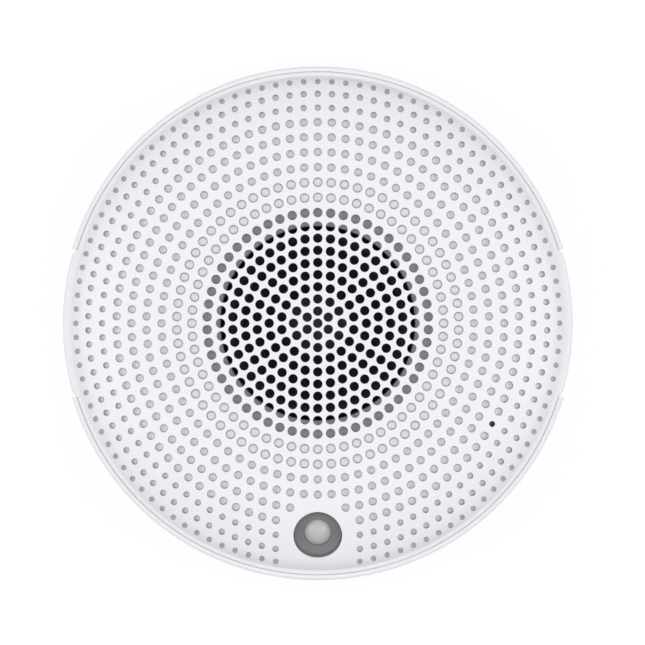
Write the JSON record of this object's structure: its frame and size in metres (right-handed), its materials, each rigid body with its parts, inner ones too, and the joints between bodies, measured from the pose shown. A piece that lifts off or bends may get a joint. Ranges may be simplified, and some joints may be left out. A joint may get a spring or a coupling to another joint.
{
  "type": "network wall and ceiling speaker",
  "caption": "Round white wall or ceiling speaker: domed perforated pull-off cover, motion sensor and microphone port, loudspeaker in its own chamber and a network board inside.",
  "frame": {"origin": "centre of the flat back face that lies on the wall or ceiling", "axes": "+Z out of the perforated face, +Y towards the top of the face as pictured, +X to its right; the motion sensor is at -Y"},
  "size_m": [0.1586, 0.1598, 0.042],
  "materials": {
    "cover_white": "fine satin moulding texture",
    "base_white": "fine satin moulding texture",
    "bezel_grey": "satin",
    "lens_clouded": "clouded, soft gloss",
    "chamber_black": "matte moulding",
    "frame_black": "black powder coat",
    "ferrite": "dull ground ferrite",
    "zinc_steel": "zinc plated",
    "cone_paper": "black pressed paper",
    "cap_black": "black doped cloth",
    "surround_rubber": "matte black rubber",
    "spider_cloth": "resin-dipped woven cloth",
    "former_foil": "thin foil",
    "coil_copper": "enamelled copper wire",
    "gasket_foam": "grey closed-cell foam",
    "grommet_rubber": "matte black rubber",
    "board_green": "solder mask on fibreglass",
    "jack_plastic": "black nylon",
    "contact_gold": "gold plated",
    "transformer_ferrite": "ferrite core with yellow tape",
    "capacitor_can": "bright can in a dark sleeve",
    "chip_black": "moulded epoxy",
    "sink_black": "black anodised",
    "button_plastic": "red plastic",
    "tag_board": "brown fibre board",
    "lead_sleeve": "soft insulation",
    "connector_plastic": "natural nylon"
  },
  "bodies": {
    "base": {"base_housing": "base_white", "cable_grommet": "grommet_rubber", "speaker_chamber": "chamber_black", "chamber_screws": "zinc_steel", "driver_screws": "zinc_steel", "board_screws": "zinc_steel", "driver_frame": "frame_black", "pole_yoke": "zinc_steel", "ring_magnet": "ferrite", "top_plate": "zinc_steel", "surround": "surround_rubber", "spider": "spider_cloth", "driver_gasket": "gasket_foam", "main_board": "board_green", "network_jack": "jack_plastic", "jack_shield": "zinc_steel", "jack_contacts": "contact_gold", "power_transformer": "transformer_ferrite", "bulk_capacitors": "capacitor_can", "output_inductors": "chip_black", "processor": "chip_black", "heat_sink": "sink_black", "board_chips": "chip_black", "control_switch": "chip_black", "microphone": "zinc_steel", "mic_boot": "grommet_rubber", "pir_sensor": "zinc_steel", "terminal_tag": "tag_board", "lead_connector": "connector_plastic", "speaker_leads": "lead_sleeve"},
    "cover": {"front_cover": "cover_white", "pir_bezel": "bezel_grey", "pir_lens": "lens_clouded"},
    "diaphragm": {"cone": "cone_paper", "dust_cap": "cap_black", "coil_former": "former_foil", "voice_coil": "coil_copper"},
    "button": {"control_button": "button_plastic"}
  },
  "joints": [
    {"name": "cover_lift", "type": "slide", "parent": "base", "child": "cover", "axis": [0, 0, 1], "range_m": [0, 0.06]},
    {"name": "cone_travel", "type": "slide", "parent": "base", "child": "diaphragm", "axis": [0, 0, 1], "range_m": [-0.002, 0.002], "stiffness_N_per_m": 1200, "deforming": ["surround", "spider"]},
    {"name": "button_press", "type": "slide", "parent": "base", "child": "button", "axis": [0, 0, -1], "range_m": [0, 0.0004], "stiffness_N_per_m": 2000, "springref_m": -0.0004}
  ]
}
